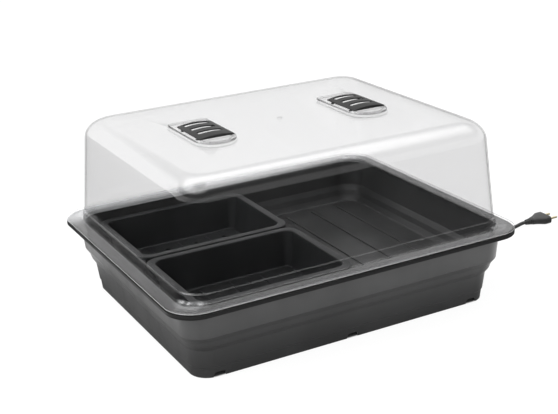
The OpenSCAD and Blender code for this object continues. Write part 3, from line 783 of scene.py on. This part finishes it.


# The tray's rim band under the flange gets painted shade, for the shadow gap there
black_pp = moulded_plastic("black_pp_moulded", grey(0.028, -0.01), 0.30, 0.012, 1500.0, 0.30, 0.03,
                           matt_top=0.45, shadow_band=(SEAT_Z - 8.2, SEAT_Z - 0.2))
plate_mat = moulded_plastic("plate_moulded", grey(0.028), 0.46, 0.05, 700.0, 0.3)
seed_mat = moulded_plastic("seed_tray_moulded", grey(0.014, -0.04), 0.34, 0.008, 1500.0, 0.5, 0.02, 0.8, 0.45)
vent_mat = moulded_plastic("vent_moulded", grey(0.016), 0.50, 0.015, 1500.0, 0.45, 0.01, 0.8, 0.5)
sheath = moulded_plastic("lead_sheath_pvc", grey(0.018), 0.42, 0.03, 900.0, 0.1, 0.03)
plug_mat = moulded_plastic("plug_moulded", grey(0.022), 0.40, 0.04, 800.0, 0.35, 0.03)
bush_mat = moulded_plastic("bush_rubber", grey(0.02), 0.55, 0.05, 600.0, 0.15, 0.03)
nylon = moulded_plastic("clamp_nylon", rgb(0.62, 0.59, 0.5), 0.42, 0.03, 900.0, 0.1)
brown = moulded_plastic("core_brown_pvc", rgb(0.16, 0.06, 0.022), 0.35, 0.02, 900.0, 0.1)
blue = moulded_plastic("core_blue_pvc", rgb(0.02, 0.09, 0.32), 0.35, 0.02, 900.0, 0.1)
red = moulded_plastic("splice_red_pvc", rgb(0.42, 0.05, 0.03), 0.36, 0.02, 900.0, 0.2)
clear = clear_plastic("clear_dome_moulding")
foil = metal("spreader_foil", rgb(0.78, 0.78, 0.79), 0.26, (0.05, 1, 1), 160.0, 0.05, 0.25)
zinc = metal("zinc_steel", rgb(0.60, 0.60, 0.58), 0.32, (1, 1, 1), 420.0, 0.02, 0.45)
brass = metal("plated_brass", rgb(0.74, 0.66, 0.45), 0.24, (0.08, 1, 1), 300.0, 0.02, 0.35)
foam = soft_solid("insulating_foam", rgb(0.62, 0.58, 0.47), 0.9, 160.0, 0.6, 0.18)
cord_mat = soft_solid("silicone_cord", rgb(0.55, 0.51, 0.41), 0.55, 420.0, 0.08, 0.12)
sleeve_mat = soft_solid("glass_sleeve", rgb(0.72, 0.69, 0.6), 0.7, 700.0, 0.12, 0.15)


# ---------------------------------------------------------------- pieces of the object
def place(obj, name, body, mat, slot, node):
    """Name a piece, give it its material and let it ride on its body in place of a CAD node."""
    obj.name = name
    obj.data.name = name
    assign(obj, mat)
    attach(obj, body)
    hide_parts(node)


place(build_base_tray(), "moulded_base_tray", "tray", black_pp, "black_pp", "base_tray")
place(build_dome(), "clear_dome_moulding", "dome", clear, "clear_dome", "dome_lid")
for side, x in (("left", -VENT_X), ("right", VENT_X)):
    place(build_slider("slider_" + side, x), "vent_slide_" + side, "vent_" + side, vent_mat, "vent_grey",
          "vent_slider_" + side)
for side, y in (("rear", 105), ("front", -87)):
    place(build_seed_tray("seed_" + side, -107, y), side + "_seed_insert", "seed_" + side, seed_mat,
          "seed_tray_black", "seed_tray_" + side)
place(build_lead(), "mains_lead", "tray", sheath, "lead_sheath", "power_cable")
place(build_plug(), "moulded_plug", "tray", plug_mat, "plug_plastic", "plug_body")

NODE_MATERIALS = {
    "underside_plate": plate_mat, "plate_screws": zinc, "heat_spreader": foil, "heating_wire": cord_mat,
    "insulation_pad": foam, "thermal_cutout": sleeve_mat, "wire_splices": red, "lead_live": brown,
    "lead_neutral": blue, "cable_grommet": bush_mat, "cable_clamp": nylon, "clamp_screws": zinc,
    "plug_pins": brass,
}
for node_name, mat in NODE_MATERIALS.items():
    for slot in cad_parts[node_name].material_slots:
        slot.material = mat


# ---------------------------------------------------------------- stage: pale floor, soft light, camera
def floor_material():
    """Pale floor. Seen directly it is near white; reflections see a bright ring on a dim stage instead."""
    g = new_graph("studio_floor")
    paths = g.node("ShaderNodeLightPath").outputs
    reach = g.beyond(g.xyz(g.position()), FOOT_L, FOOT_W, FOOT_R)

    # What the camera sees: white by its own light, but not under the tray, where the notches would show it
    colour = g.mix(g.ramp(g.noise(0.8, 2.0), (0.3, 0.0), (0.7, 1.0)), grey(0.10), grey(0.11))
    lift = g.ramp_mm(reach, (-4, 0.0), (1, 0.92))
    seen = g.principled(colour, 0.9, IOR=1.2, Emission_Color=rgb(1, 1, 1), Emission_Strength=lift)

    # What bounces light
    plain = g.node("ShaderNodeBsdfDiffuse")
    plain.inputs["Color"].default_value = grey(0.75)

    # What reflections see: a ring round the tray, for rays that come down steeply and not through the dome
    ring = g.times(g.ramp_mm(reach, (0, 0.3), (160, 2.0)), g.ramp_mm(reach, (180, 1.0), (270, 0.25)))
    steep = g.ramp(g.xyz(g.geometry("Incoming"))[2], (0.35, 0.0), (0.43, 1.0))
    outside = g.ramp(paths["Transparent Depth"], (0.2, 1.0), (0.8, 0.2))
    mirrored = g.node("ShaderNodeEmission")
    g.value(mirrored.inputs["Strength"], g.times(ring, steep, outside))

    indirect = g.blend(paths["Is Glossy Ray"], plain.outputs[0], mirrored.outputs[0])
    return g.finish(g.blend(paths["Is Camera Ray"], indirect, seen))


FLOOR_HALF = 9000
floor_plan = [(-FLOOR_HALF, -FLOOR_HALF, 0), (FLOOR_HALF, -FLOOR_HALF, 0),
              (FLOOR_HALF, FLOOR_HALF, 0), (-FLOOR_HALF, FLOOR_HALF, 0)]
floor = new_object("studio_floor", floor_plan, [(0, 1, 2, 3)])
assign(floor, floor_material())


def softbox(name, centre, aim, size, power):
    """Soft lamp at centre turned towards aim; it isn't mirrored in glossy surfaces."""
    data = bpy.data.lights.new(name, "AREA")
    data.shape, data.size, data.size_y, data.energy = "RECTANGLE", size[0], size[1], power
    lamp = linked(name, data)
    lamp.location = centre
    lamp.rotation_euler = (Vector(aim) - Vector(centre)).to_track_quat("-Z", "Y").to_euler()
    lamp.visible_glossy = False


softbox("top_softbox", (-0.35, 0.25, 1.7), (0, 0, 0.15), (1.3, 0.8), 16)
softbox("front_softbox", (-0.9, -1.9, 1.5), (0, 0, 0.1), (1.4, 1.0), 14)
softbox("left_softbox", (-2.0, -0.3, 1.1), (0, 0, 0.15), (1.0, 1.4), 22)


def studio_world():
    """White studio: even when seen, dimmer towards the front for light, and more so for reflections."""
    world = bpy.data.worlds.new("studio")
    bpy.context.scene.world = world
    g = Graph(world, "ShaderNodeOutputWorld")
    direction = g.xyz(g.node("ShaderNodeTexCoord").outputs["Generated"])
    paths = g.node("ShaderNodeLightPath").outputs

    def background(strength):
        shade = g.node("ShaderNodeBackground")
        shade.inputs[0].default_value = (1, 1, 1, 1)
        g.value(shade.inputs[1], strength)
        return shade.outputs[0]

    def graded(front, rear):
        return g.ramp(direction[1], (-0.8, front), (0.8, rear), "LINEAR")

    # Reflections also see a soft overhead light, with a dimmer belt of sky below it
    height = direction[2]
    overhead = g.times(g.ramp(height, (0.70, 0.0), (0.84, 1.7)), g.ramp(height, (0.93, 1.0), (0.99, 0.0)))
    belt = g.plus(g.ramp(height, (0.36, 1.0), (0.50, 0.25)), g.ramp(height, (0.62, 0.0), (0.74, 0.75)))
    mirrored = background(g.plus(overhead, g.times(graded(0.45, 1.36), belt)))
    unseen = g.blend(paths["Is Glossy Ray"], background(graded(0.75, 1.05)), mirrored)
    g.finish(g.blend(paths["Is Camera Ray"], unseen, background(1.0)))


def place_camera(azimuth, elevation, roll, distance, lens, target, shift):
    """Camera at an angle (degrees) and distance (m) from target, moved sideways and up by shift (m)."""
    azimuth, elevation, roll = (math.radians(v) for v in (azimuth, elevation, roll))
    level = math.cos(elevation)
    back = Vector((math.sin(azimuth) * level, -math.cos(azimuth) * level, math.sin(elevation)))
    right = Vector((math.cos(azimuth), math.sin(azimuth), 0))
    up = back.cross(right)
    axis_x = right * math.cos(roll) + up * math.sin(roll)
    axis_y = up * math.cos(roll) - right * math.sin(roll)
    data = bpy.data.cameras.new("camera")
    data.sensor_width, data.lens, data.clip_end = 36.0, lens, 50.0
    matrix = Matrix((axis_x, axis_y, back)).transposed().to_4x4()
    matrix.translation = Vector(target) + right * shift[0] + up * shift[1] + back * distance
    camera = linked("camera", data)
    camera.matrix_world = matrix
    bpy.context.scene.camera = camera


studio_world()
place_camera(-27.9, 20.23, -2.335, 1.7234, 72.97, (0, 0, 0.1352), (-0.00657, 0.00359))
bpy.context.scene.view_settings.view_transform = "Standard"
